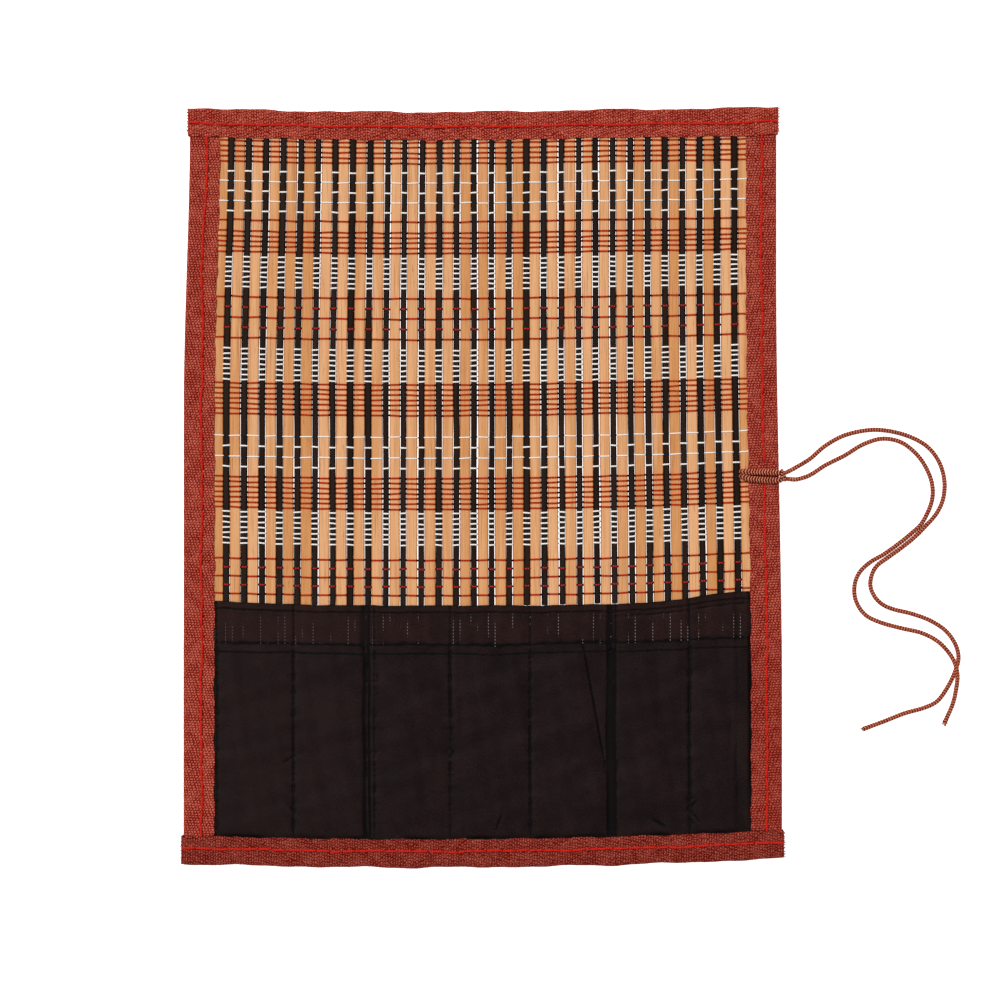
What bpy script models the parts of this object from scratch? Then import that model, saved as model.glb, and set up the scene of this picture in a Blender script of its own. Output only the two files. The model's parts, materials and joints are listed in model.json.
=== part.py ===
"""Brush roll case: a woven mat of bamboo slats with taped edges, a row of flat cloth pockets and a tie cord.

It lies unrolled and flat, pockets up, on the plane z = 0. X runs across the slats, Y along them, and the
pockets are at -Y. It rolls up from its -X edge: neighbouring slats turn about the black slat between them.
"""

from math import cos, pi, sin

import bmesh
import bpy
from mathutils import Vector

MM = 0.001

# The mat. A tan and a black slat repeat at SLAT_PITCH, and X = 0 is the middle of the middle tan slat.
SLAT_PITCH = 10.4 * MM
TAN_WIDTH = 5.8 * MM
BLACK_WIDTH = 3.4 * MM
SLAT_THICK = 1.8 * MM
SLAT_LENGTH = 445.0 * MM
PAIR_COUNT = 29
EDGE_TAN = 15 * SLAT_PITCH
TIE_CENTRES = [y * MM for y in (199.8, 146.4, 53.0, -2.6, -100.8, -153.8)]
TIE_LENGTH = 14.0 * MM
TIE_THICK = 0.8 * MM

# The edge tape, folded over all four edges.
TAPE_THICK = 0.6 * MM
HALF_LENGTH = 224.5 * MM
END_TAPE_HALF = 177.0 * MM
END_TAPE_WIDTH = 17.0 * MM
SIDE_TAPE_EDGE = 176.0 * MM
SIDE_TAPE_WIDTH = 18.3 * MM

# The cloth.
LINING_TOP = -69.6 * MM
POCKET_TOP = -92.8 * MM
CLOTH_HALF = 172.0 * MM
CLOTH_END = -222.5 * MM
CLOTH_THICK = 0.4 * MM
POCKET_SEAMS = [x * MM for x in (-112.5, -64.6, -19.6, 28.0, 76.2, 122.6)]
HEM_INSET = 5.0 * MM
HEM_HALF = 157.0 * MM

# Sewing thread. A seam is one run of thread along its line.
THREAD_WIDTH = 0.8 * MM
THREAD_THICK = 0.5 * MM

# The tie cord, folded in half and hitched round the +X edge. Each free end is a strand.
CORD_RADIUS = 1.25 * MM
CORD_POINTS = 40
HITCH_Y = (3.1 * MM, 11.1 * MM)
HITCH_INNER = 153.4 * MM
HITCH_OUTER = 180.3 * MM
HITCH_THICK = 2.2 * MM

# Heights, from the floor up. CLEAR is the clearance between pieces that touch.
CLEAR = 0.3 * MM
SLAT_LOW = TAPE_THICK + CLEAR
SLAT_HIGH = SLAT_LOW + SLAT_THICK
SLAT_MIDDLE = SLAT_LOW + SLAT_THICK / 2
LINING_LOW = SLAT_HIGH + CLEAR
POCKET_LOW = LINING_LOW + CLOTH_THICK + CLEAR
OVER_SLATS = SLAT_HIGH + CLEAR + TAPE_THICK
OVER_LINING = LINING_LOW + CLOTH_THICK + CLEAR + TAPE_THICK
OVER_POCKET = POCKET_LOW + CLOTH_THICK + CLEAR + TAPE_THICK

# Each strand's route, from the hitch to its bare end, as X, Y and height of the cord's middle in millimetres.
LOW = 1.3
UPPER_STRAND = [
    (181.6, 9.4, 2.0), (185.4, 11.4, 1.5), (194.3, 16.8, LOW), (203.5, 24.6, LOW), (215.0, 30.8, LOW),
    (229.6, 33.9, LOW), (242.0, 33.2, LOW), (254.0, 29.8, LOW), (264.0, 24.1, LOW), (270.8, 15.4, LOW),
    (274.1, 4.6, LOW), (273.6, -6.3, LOW), (269.7, -15.4, LOW), (263.2, -23.0, LOW), (256.2, -30.0, LOW),
    (248.4, -36.3, LOW), (240.3, -42.1, LOW), (234.2, -46.7, LOW), (231.0, -52.4, LOW), (230.3, -59.2, LOW),
    (233.2, -65.7, LOW), (238.2, -70.2, LOW), (245.0, -72.9, LOW), (255.0, -75.3, LOW), (266.0, -79.4, LOW),
    (275.0, -85.4, LOW), (280.6, -93.2, LOW), (282.6, -101.3, LOW), (280.6, -109.4, LOW), (276.6, -118.0, LOW),
    (270.4, -126.8, LOW), (262.6, -131.0, LOW), (250.4, -134.5, LOW), (238.4, -139.2, LOW), (226.0, -143.8, LOW),
]
LOWER_STRAND = [
    (181.6, 4.8, 2.0), (186.4, 4.6, 1.5), (194.3, 7.1, LOW), (203.5, 13.0, LOW), (214.8, 18.7, LOW),
    (225.6, 25.2, LOW), (236.8, 28.7, LOW), (247.6, 27.0, LOW), (256.2, 21.0, LOW), (262.6, 12.8, LOW),
    (266.8, 2.2, LOW), (266.6, -8.7, LOW), (261.2, -20.8, LOW), (254.2, -27.8, LOW), (246.5, -34.0, LOW),
    (238.5, -39.7, LOW), (229.6, -45.0, LOW), (223.3, -51.4, LOW), (220.7, -59.4, LOW), (221.8, -68.0, LOW),
    (227.2, -75.9, LOW), (236.4, -80.5, LOW), (248.8, -83.9, LOW), (260.4, -86.6, 1.4), (269.8, -91.4, 2.3),
    (276.4, -98.2, 3.7), (280.2, -105.2, 4.4), (281.5, -112.4, 4.4), (280.8, -120.2, 3.3), (279.0, -129.0, 1.9),
    (274.2, -140.4, LOW),
]


def clear_scene():
    for obj in list(bpy.data.objects):
        bpy.data.objects.remove(obj)


def material(name, colour, roughness):
    made = bpy.data.materials.new(name)
    made.use_nodes = True
    shader = made.node_tree.nodes["Principled BSDF"]
    shader.inputs["Base Color"].default_value = (*colour, 1.0)
    shader.inputs["Roughness"].default_value = roughness
    shader.inputs["Metallic"].default_value = 0.0
    return made


def add_object(name, data, materials, location=(0.0, 0.0, 0.0)):
    obj = bpy.data.objects.new(name, data)
    if not data.materials:
        for each in materials:
            data.materials.append(each)
    obj.location = location
    bpy.context.scene.collection.objects.link(obj)
    return obj


def mesh_from(name, bm):
    bmesh.ops.recalc_face_normals(bm, faces=bm.faces)
    mesh = bpy.data.meshes.new(name)
    bm.to_mesh(mesh)
    bm.free()
    return mesh


def box_mesh(name, low, high):
    bm = bmesh.new()
    bmesh.ops.create_cube(bm, size=1.0)
    size = Vector(high) - Vector(low)
    middle = (Vector(high) + Vector(low)) / 2
    for vert in bm.verts:
        vert.co = Vector(a * b for a, b in zip(vert.co, size)) + middle
    return mesh_from(name, bm)


def swept_mesh(name, sections):
    """A closed solid through sections of equal point counts, with a flat face at each end."""
    bm = bmesh.new()
    rings = [[bm.verts.new(point) for point in section] for section in sections]
    bm.faces.new(rings[0])
    bm.faces.new(reversed(rings[-1]))
    count = len(rings[0])
    for ring, after in zip(rings, rings[1:]):
        for i in range(count):
            j = (i + 1) % count
            bm.faces.new((ring[i], after[i], after[j], ring[j]))
    return mesh_from(name, bm)


def folded_section(width, top, floor=0.0, lower_width=None):
    """A tape folded into a C, as (distance in from the fold's outside, height) points."""
    lower = width if lower_width is None else lower_width
    return [
        (0.0, floor), (lower, floor), (lower, floor + TAPE_THICK), (TAPE_THICK, floor + TAPE_THICK),
        (TAPE_THICK, top - TAPE_THICK), (width, top - TAPE_THICK), (width, top), (0.0, top),
    ]


def slat_pair_mesh():
    """A black slat centred on the origin and the tan slat on its -X side, tied by bands of weaving thread."""
    half_black = BLACK_WIDTH / 2
    tan_near = SLAT_PITCH / 2 - TAN_WIDTH / 2
    xs = [-tan_near - TAN_WIDTH, -tan_near, -half_black, half_black]
    ys = [-SLAT_LENGTH / 2, SLAT_LENGTH / 2]
    for centre in TIE_CENTRES:
        ys += [centre - TIE_LENGTH / 2, centre + TIE_LENGTH / 2]
    ys.sort()
    zs = [-SLAT_THICK / 2, -TIE_THICK / 2, TIE_THICK / 2, SLAT_THICK / 2]
    gap_column, tie_layer = 1, 1

    def filled(i, j, k):
        if not (0 <= i < len(xs) - 1 and 0 <= j < len(ys) - 1 and 0 <= k < len(zs) - 1):
            return False
        return i != gap_column or (k == tie_layer and j % 2 == 1)

    bm = bmesh.new()
    corners = {}

    def corner(i, j, k):
        if (i, j, k) not in corners:
            corners[i, j, k] = bm.verts.new((xs[i], ys[j], zs[k]))
        return corners[i, j, k]

    sides = {
        (-1, 0, 0): ((0, 0, 0), (0, 0, 1), (0, 1, 1), (0, 1, 0)),
        (1, 0, 0): ((1, 0, 0), (1, 1, 0), (1, 1, 1), (1, 0, 1)),
        (0, -1, 0): ((0, 0, 0), (1, 0, 0), (1, 0, 1), (0, 0, 1)),
        (0, 1, 0): ((0, 1, 0), (0, 1, 1), (1, 1, 1), (1, 1, 0)),
        (0, 0, -1): ((0, 0, 0), (0, 1, 0), (1, 1, 0), (1, 0, 0)),
        (0, 0, 1): ((0, 0, 1), (1, 0, 1), (1, 1, 1), (0, 1, 1)),
    }
    for i in range(len(xs) - 1):
        for j in range(len(ys) - 1):
            for k in range(len(zs) - 1):
                if not filled(i, j, k):
                    continue
                for (a, b, c), face in sides.items():
                    if not filled(i + a, j + b, k + c):
                        made = bm.faces.new(corner(i + u, j + v, k + w) for u, v, w in face)
                        made.material_index = i
    return mesh_from("slat_pair", bm)


def add_slats(tan, thread, black):
    """The woven pairs, numbered from the +X edge, and the single slats that the side tapes hold."""
    pair = slat_pair_mesh()
    first_axis = EDGE_TAN - SLAT_PITCH / 2
    for number in range(1, PAIR_COUNT + 1):
        axis = first_axis - (number - 1) * SLAT_PITCH
        add_object(f"slat_pair_{number:02d}", pair, (tan, thread, black), (axis, 0.0, SLAT_MIDDLE))
    meshes = {}
    for name, width in (("tan", TAN_WIDTH), ("black", BLACK_WIDTH)):
        half = Vector((width / 2, SLAT_LENGTH / 2, SLAT_THICK / 2))
        meshes[name] = box_mesh(f"{name}_slat", -half, half)
    colours = {"tan": tan, "black": black}
    for side, sign, first in (("right", 1, 0), ("left", -1, -1)):
        for step in range(first, 4):
            kind = "black" if step % 2 else "tan"
            x = sign * (EDGE_TAN + step * SLAT_PITCH / 2)
            name = f"{side}_edge_slat_{step - first + 1}"
            add_object(name, meshes[kind], (colours[kind],), (x, 0.0, SLAT_MIDDLE))


def side_tape_tops():
    """(Y, height) along the top of a side tape, which steps up over the lining and the pocket panel."""
    step = 1.0 * MM
    return [
        (LINING_TOP + 2 * step, OVER_SLATS),
        (LINING_TOP + step, OVER_LINING),
        (POCKET_TOP + 2 * step, OVER_LINING),
        (POCKET_TOP + step, OVER_POCKET),
    ]


def add_side_tape(name, sign, tape):
    """A side tape. Only its upper layer and its fold go inside the end tapes."""
    lip = TAPE_THICK + 0.1 * MM
    corner = HALF_LENGTH - END_TAPE_WIDTH - CLEAR
    end = SLAT_LENGTH / 2
    full = SIDE_TAPE_WIDTH
    step = 1.0 * MM
    stations = [
        (end, OVER_SLATS, SLAT_LOW, lip),
        (corner, OVER_SLATS, SLAT_LOW, lip),
        (corner - step, OVER_SLATS, 0.0, lip),
        (corner - 2 * step, OVER_SLATS, 0.0, full),
        *((y, top, 0.0, full) for y, top in side_tape_tops()),
        (2 * step - corner, OVER_POCKET, 0.0, full),
        (step - corner, OVER_POCKET, 0.0, lip),
        (-corner, OVER_POCKET, SLAT_LOW, lip),
        (-end, OVER_POCKET, SLAT_LOW, lip),
    ]
    sections = []
    for y, top, floor, lower in stations:
        section = folded_section(full, top, floor, lower)
        sections.append([(sign * (SIDE_TAPE_EDGE - u), y, z) for u, z in section])
    return add_object(name, swept_mesh(name, sections), (tape,))


def add_end_tape(name, sign, middle_top, tape):
    """An end tape, which steps up over the side tapes at both corners."""
    corner = SIDE_TAPE_EDGE - SIDE_TAPE_WIDTH - CLEAR
    corner_top = middle_top + CLEAR + TAPE_THICK
    step = 1.0 * MM
    stations = [
        (-END_TAPE_HALF, corner_top), (-corner, corner_top), (-corner + step, middle_top),
        (corner - step, middle_top), (corner, corner_top), (END_TAPE_HALF, corner_top),
    ]
    sections = []
    for x, top in stations:
        section = folded_section(END_TAPE_WIDTH, top)
        sections.append([(x, sign * (HALF_LENGTH - u), z) for u, z in section])
    return add_object(name, swept_mesh(name, sections), (tape,))


def add_cloth(name, top_edge, low, cloth):
    mesh = box_mesh(name, (-CLOTH_HALF, CLOTH_END, low), (CLOTH_HALF, top_edge, low + CLOTH_THICK))
    return add_object(name, mesh, (cloth,))


def add_seam(name, start, end, surface, thread):
    """A straight run of thread CLEAR above the surface, along X or along Y."""
    low_x, high_x = sorted((start[0], end[0]))
    low_y, high_y = sorted((start[1], end[1]))
    half = THREAD_WIDTH / 2
    grow_x, grow_y = (half, 0.0) if low_x == high_x else (0.0, half)
    base = surface + CLEAR
    low = (low_x - grow_x, low_y - grow_y, base)
    high = (high_x + grow_x, high_y + grow_y, base + THREAD_THICK)
    return add_object(name, box_mesh(name, low, high), (thread,))


def add_side_seam(name, sign, thread):
    """The seam along the middle of a side tape, at the tape's own heights."""
    middle = sign * (SIDE_TAPE_EDGE - SIDE_TAPE_WIDTH / 2)
    end = HALF_LENGTH - END_TAPE_WIDTH - 2.0 * MM
    sections = []
    for y, top in [(end, OVER_SLATS), *side_tape_tops(), (-end, OVER_POCKET)]:
        low, high = top + CLEAR, top + CLEAR + THREAD_THICK
        near, far = middle - THREAD_WIDTH / 2, middle + THREAD_WIDTH / 2
        sections.append([(near, y, low), (far, y, low), (far, y, high), (near, y, high)])
    return add_object(name, swept_mesh(name, sections), (thread,))


def add_seams(red, dark):
    pocket_surface = POCKET_LOW + CLOTH_THICK
    seam_end = -HALF_LENGTH + END_TAPE_WIDTH + 1.0 * MM
    for number, x in enumerate(POCKET_SEAMS, 1):
        start = (x, POCKET_TOP - HEM_INSET - 2 * THREAD_WIDTH)
        add_seam(f"pocket_seam_{number}", start, (x, seam_end), pocket_surface, dark)
    for name, edge, surface in (
        ("lining_hem_seam", LINING_TOP, LINING_LOW + CLOTH_THICK),
        ("pocket_hem_seam", POCKET_TOP, pocket_surface),
    ):
        y = edge - HEM_INSET
        add_seam(name, (-HEM_HALF, y), (HEM_HALF, y), surface, dark)
    for name, sign in (("left_binding_seam", -1), ("right_binding_seam", 1)):
        add_side_seam(name, sign, red)
    end_y = HALF_LENGTH - 0.62 * END_TAPE_WIDTH
    end_x = SIDE_TAPE_EDGE - SIDE_TAPE_WIDTH - 2.0 * MM
    for name, sign, surface in (("top_binding_seam", 1, OVER_SLATS), ("bottom_binding_seam", -1, OVER_POCKET)):
        y = sign * end_y
        add_seam(name, (-end_x, y), (end_x, y), surface, red)


def smooth_route(points, count):
    """Evenly spaced points on a Catmull-Rom curve through the route's points."""
    fine = []
    steps = 12
    padded = [2 * points[0] - points[1], *points, 2 * points[-1] - points[-2]]
    for a, b, c, d in zip(padded, padded[1:], padded[2:], padded[3:]):
        for i in range(steps):
            t = i / steps
            fine.append(
                0.5 * (2 * b + (c - a) * t + (2 * a - 5 * b + 4 * c - d) * t**2 + (3 * b - a - 3 * c + d) * t**3)
            )
    fine.append(points[-1])
    reached = [0.0]
    for before, after in zip(fine, fine[1:]):
        reached.append(reached[-1] + (after - before).length)
    spaced = []
    i = 0
    for n in range(count):
        want = reached[-1] * n / (count - 1)
        while i < len(reached) - 2 and reached[i + 1] < want:
            i += 1
        share = (want - reached[i]) / (reached[i + 1] - reached[i])
        spaced.append(fine[i].lerp(fine[i + 1], share))
    return spaced


def add_strand(name, route, cord):
    points = smooth_route([Vector(point) * MM for point in route], CORD_POINTS)
    curve = bpy.data.curves.new(name, "CURVE")
    curve.dimensions = "3D"
    curve.bevel_depth = CORD_RADIUS
    curve.bevel_resolution = 2
    curve.use_fill_caps = True
    spline = curve.splines.new("POLY")
    spline.points.add(len(points) - 1)
    for target, point in zip(spline.points, points):
        target.co = (*point, 1.0)
    return add_object(name, curve, (cord,))


def add_hitch(cord):
    """The cord's doubled middle, over the right side tape with its seam and round the mat's edge."""
    low = OVER_SLATS + CLEAR + THREAD_THICK + CLEAR
    high = low + HITCH_THICK
    inside = SIDE_TAPE_EDGE + CLEAR
    radius = HITCH_OUTER - inside
    outline = [(HITCH_INNER, low), (inside, low), (inside, CLEAR), (HITCH_OUTER, CLEAR)]
    steps = 5
    for i in range(steps + 1):
        turn = pi / 2 * i / steps
        outline.append((inside + radius * cos(turn), high - radius + radius * sin(turn)))
    outline.append((HITCH_INNER, high))
    sections = [[(x, y, z) for x, z in outline] for y in HITCH_Y]
    return add_object("cord_hitch", swept_mesh("cord_hitch", sections), (cord,))


def build():
    clear_scene()
    tan = material("bamboo_natural", (0.62, 0.36, 0.16), 0.55)
    black = material("bamboo_black", (0.015, 0.013, 0.012), 0.45)
    weave = material("weaving_thread", (0.75, 0.72, 0.66), 0.8)
    tape = material("binding_tape", (0.30, 0.045, 0.025), 0.85)
    lining = material("lining_cloth", (0.022, 0.011, 0.011), 0.6)
    pocket = material("pocket_cloth", (0.014, 0.009, 0.009), 0.55)
    red_thread = material("red_thread", (0.62, 0.03, 0.02), 0.7)
    dark_thread = material("dark_thread", (0.008, 0.006, 0.006), 0.7)
    cord = material("cord_braid", (0.33, 0.07, 0.035), 0.8)
    add_slats(tan, weave, black)
    add_side_tape("left_binding", -1, tape)
    add_side_tape("right_binding", 1, tape)
    add_end_tape("top_binding", 1, OVER_SLATS, tape)
    add_end_tape("bottom_binding", -1, OVER_POCKET, tape)
    add_cloth("pocket_lining", LINING_TOP, LINING_LOW, lining)
    add_cloth("pocket_panel", POCKET_TOP, POCKET_LOW, pocket)
    add_seams(red_thread, dark_thread)
    add_hitch(cord)
    add_strand("cord_strand_upper", UPPER_STRAND, cord)
    add_strand("cord_strand_lower", LOWER_STRAND, cord)


build()
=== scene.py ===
import json
from math import pi, radians

import bpy
import numpy as np
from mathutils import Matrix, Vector

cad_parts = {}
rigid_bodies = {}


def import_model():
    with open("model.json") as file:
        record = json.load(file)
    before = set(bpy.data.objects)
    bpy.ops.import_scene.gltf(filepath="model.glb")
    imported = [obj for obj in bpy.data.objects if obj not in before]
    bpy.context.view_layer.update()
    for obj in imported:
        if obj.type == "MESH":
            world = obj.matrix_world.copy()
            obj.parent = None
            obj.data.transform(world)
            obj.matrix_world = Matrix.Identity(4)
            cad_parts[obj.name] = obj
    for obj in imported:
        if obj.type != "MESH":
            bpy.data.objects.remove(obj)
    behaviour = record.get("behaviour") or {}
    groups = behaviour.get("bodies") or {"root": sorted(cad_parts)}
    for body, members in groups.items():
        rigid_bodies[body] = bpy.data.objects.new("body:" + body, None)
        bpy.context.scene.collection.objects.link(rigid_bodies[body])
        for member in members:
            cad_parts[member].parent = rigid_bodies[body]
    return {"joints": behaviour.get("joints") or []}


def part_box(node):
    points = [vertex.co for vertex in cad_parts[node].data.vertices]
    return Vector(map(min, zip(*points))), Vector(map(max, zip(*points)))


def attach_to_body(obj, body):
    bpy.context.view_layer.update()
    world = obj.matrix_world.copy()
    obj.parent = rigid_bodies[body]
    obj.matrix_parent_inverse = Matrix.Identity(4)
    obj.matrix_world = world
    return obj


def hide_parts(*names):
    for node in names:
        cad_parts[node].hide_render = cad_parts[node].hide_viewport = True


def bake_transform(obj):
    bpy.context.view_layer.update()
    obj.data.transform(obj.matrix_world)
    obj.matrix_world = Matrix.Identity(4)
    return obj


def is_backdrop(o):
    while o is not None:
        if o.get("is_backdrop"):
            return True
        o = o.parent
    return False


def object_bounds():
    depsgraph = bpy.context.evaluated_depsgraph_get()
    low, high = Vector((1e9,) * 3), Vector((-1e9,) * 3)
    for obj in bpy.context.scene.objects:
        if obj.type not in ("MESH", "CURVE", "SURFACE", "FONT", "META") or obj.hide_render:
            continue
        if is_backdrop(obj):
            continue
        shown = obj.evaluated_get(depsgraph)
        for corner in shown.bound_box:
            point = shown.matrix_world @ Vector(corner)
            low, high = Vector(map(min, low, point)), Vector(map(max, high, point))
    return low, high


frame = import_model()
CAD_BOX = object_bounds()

MM = 0.001  # every size below is in millimetres, and the mesh builder turns them into metres
TURN = 2 * pi

# ---------------------------------------------------------------- layout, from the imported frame


def box_mm(node):
    low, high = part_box(node)
    return np.array(low) / MM, np.array(high) / MM


HINGES = sorted(frame["joints"], key=lambda joint: -joint["pos_m"][0])
HINGE_X = [joint["pos_m"][0] / MM for joint in HINGES]
BODIES = [HINGES[0]["parent"], *(joint["child"] for joint in HINGES)]
PITCH = HINGE_X[0] - HINGE_X[1]
LAST = len(HINGES)

SLAT_LOW, SLAT_HIGH = box_mm("left_edge_slat_2")
TAN_WIDTH = SLAT_HIGH[0] - SLAT_LOW[0]
BLACK_WIDTH = np.ptp([corner[0] for corner in box_mm("left_edge_slat_1")])
SLAT_END = SLAT_HIGH[1]
SLAT_FLOOR, SLAT_TOP = SLAT_LOW[2], SLAT_HIGH[2]

TAPE_THICK = 0.6
END_TAPE_LOW, END_TAPE_HIGH = box_mm("top_binding")
END_TAPE_HALF = END_TAPE_HIGH[0]
END_TAPE_WIDTH = END_TAPE_HIGH[1] - END_TAPE_LOW[1]
HALF_LENGTH = END_TAPE_HIGH[1]
SIDE_TAPE_LOW, SIDE_TAPE_HIGH = box_mm("right_binding")
SIDE_EDGE = SIDE_TAPE_HIGH[0]
SIDE_TAPE_WIDTH = SIDE_EDGE - SIDE_TAPE_LOW[0]
CLOTH_LOW, CLOTH_HIGH = box_mm("pocket_lining")
CLOTH_HALF = CLOTH_HIGH[0]
CLOTH_END = CLOTH_LOW[1]
LINING_TOP = CLOTH_HIGH[1]
PANEL_TOP = box_mm("pocket_panel")[1][1]
OVER_SLATS, OVER_LINING, OVER_POCKET = 3.6, 4.1, 4.9
CORNER_RISE = 0.8
POCKET_SEAMS = [0.99 * sum(corner[0] for corner in box_mm(f"pocket_seam_{n}")) / 2 for n in range(1, 7)]
EDGE_SEAMS = (-156.5, 160.0)
ALL_SEAMS = sorted([*POCKET_SEAMS, *EDGE_SEAMS])
HEM = 5.0
LINING_SEAM, PANEL_SEAM = 4.4, 5.2  # how far each hem's seam lies below the cloth's edge
HEM_STITCH = {"length": 3.8, "gap": 0.9, "half": 0.38, "lift": 0.36}
POCKET_STITCH = {"length": 3.4, "gap": 0.6, "half": 0.36, "lift": 0.36}

# The rows of weaving thread from the top down: colour, over which slats it shows, first and last row's Y, rows.
# T is a row over the tan slats, B one over the black slats.
THREAD_BANDS = [
    ("red", "T", 205.9, 193.6, 5), ("white", "BT", 187.8, 164.2, 5), ("red", "T", 158.9, 158.9, 1),
    ("red", "T", 152.3, 140.2, 5), ("white", "B", 136.9, 119.2, 7), ("red", "TB", 113.3, 89.0, 5),
    ("white", "B", 82.5, 64.1, 7), ("red", "T", 62.1, 43.9, 7), ("white", "TB", 30.9, 12.4, 4),
    ("red", "T", 6.5, -11.7, 7), ("white", "B", -14.3, -33.0, 7), ("red", "TB", -42.1, -63.0, 5),
    ("white", "B", -69.6, -88.1, 7), ("red", "T", -91.6, -110.1, 7), ("white", "TB", -117.0, -139.0, 5),
    ("red", "T", -144.6, -163.0, 7), ("white", "B", -166.0, -184.5, 7), ("red", "TB", -190.4, -202.9, 3),
]

# Each strand's route, from the hitch to its bare end: X, Y and height of the cord's middle, as the CAD has them.
CORD_DIAMETER = 2.5
LOW = 1.3
UPPER_STRAND = [
    (181.6, 9.4, 2.0), (185.4, 11.4, 1.5), (194.3, 16.8, LOW), (203.5, 24.6, LOW), (215.0, 30.8, LOW),
    (229.6, 33.9, LOW), (242.0, 33.2, LOW), (254.0, 29.8, LOW), (264.0, 24.1, LOW), (270.8, 15.4, LOW),
    (274.1, 4.6, LOW), (273.6, -6.3, LOW), (269.7, -15.4, LOW), (263.2, -23.0, LOW), (256.2, -30.0, LOW),
    (248.4, -36.3, LOW), (240.3, -42.1, LOW), (234.2, -46.7, LOW), (231.0, -52.4, LOW), (230.3, -59.2, LOW),
    (233.2, -65.7, LOW), (238.2, -70.2, LOW), (245.0, -72.9, LOW), (255.0, -75.3, LOW), (266.0, -79.4, LOW),
    (275.0, -85.4, LOW), (280.6, -93.2, LOW), (282.6, -101.3, LOW), (280.6, -109.4, LOW), (276.6, -118.0, LOW),
    (270.4, -126.8, LOW), (262.6, -131.0, LOW), (250.4, -134.5, LOW), (238.4, -139.2, LOW), (226.0, -143.8, LOW),
]
LOWER_STRAND = [
    (181.6, 4.8, 2.0), (186.4, 4.6, 1.5), (194.3, 7.1, LOW), (203.5, 13.0, LOW), (214.8, 18.7, LOW),
    (225.6, 25.2, LOW), (236.8, 28.7, LOW), (247.6, 27.0, LOW), (256.2, 21.0, LOW), (262.6, 12.8, LOW),
    (266.8, 2.2, LOW), (266.6, -8.7, LOW), (261.2, -20.8, LOW), (254.2, -27.8, LOW), (246.5, -34.0, LOW),
    (238.5, -39.7, LOW), (229.6, -45.0, LOW), (223.3, -51.4, LOW), (220.7, -59.4, LOW), (221.8, -68.0, LOW),
    (227.2, -75.9, LOW), (236.4, -80.5, LOW), (248.8, -83.9, LOW), (260.4, -86.6, 1.4), (269.8, -91.4, 2.3),
    (276.4, -98.2, 3.7), (280.2, -105.2, 4.4), (281.5, -112.4, 4.4), (280.8, -120.2, 3.3), (279.0, -129.0, 1.9),
    (274.2, -140.4, LOW),
]

# ---------------------------------------------------------------- small numeric helpers


def wave(t, period, seed):
    """A smooth irregular wave of about that period, from -1 to 1, the same for the same seed."""
    draw = np.random.default_rng(seed)
    total = 0.0
    for share, factor in ((0.5, 1.0), (0.3, 0.53), (0.2, 0.29)):
        phase = draw.uniform(0, TURN)
        stretch = factor * draw.uniform(0.85, 1.15)
        total = total + share * np.sin(TURN * np.asarray(t, float) / (period * stretch) + phase)
    return total


def rise(t):
    """0 below 0, 1 above 1, and a smooth step between."""
    t = np.clip(t, 0.0, 1.0)
    return t * t * (3 - 2 * t)


def bell(t, width):
    return np.exp(-((np.asarray(t, float) / width) ** 2))


def smooth_route(points, count):
    """Evenly spaced points on a Catmull-Rom curve through the route's points."""
    p = np.array([2 * np.array(points[0]) - points[1], *points, 2 * np.array(points[-1]) - points[-2]], float)
    t = np.linspace(0, 1, 12, endpoint=False)[:, None]
    fine = [
        0.5 * (2 * b + (c - a) * t + (2 * a - 5 * b + 4 * c - d) * t**2 + (3 * b - a - 3 * c + d) * t**3)
        for a, b, c, d in zip(p, p[1:], p[2:], p[3:])
    ]
    fine = np.concatenate([*fine, p[-2:-1]])
    along = np.concatenate([[0], np.cumsum(np.linalg.norm(np.diff(fine, axis=0), axis=1))])
    at = np.linspace(0, along[-1], count)
    return np.stack([np.interp(at, along, fine[:, k]) for k in range(3)], axis=1)


def settle(points):
    """The mat's own slight skew: it sags in Y along its width and is wider at the pocket end."""
    x, y, z = points[..., 0], points[..., 1], points[..., 2]
    drift = -1.35 + 0.009 * x + 1.2e-4 * x * x
    drift = drift - 2.2 * rise((x - 60) / 117) * rise((y + 40) / 260)
    right = -1.7 + 3.3 * rise((120 - y) / 240)
    left = -1.8 + 3.7 * rise((215 - y) / 170)
    flare = x / SIDE_EDGE * np.where(x > 0, right, left)
    return np.stack([x + flare, y + drift, z], axis=-1)


# ---------------------------------------------------------------- meshes


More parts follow.
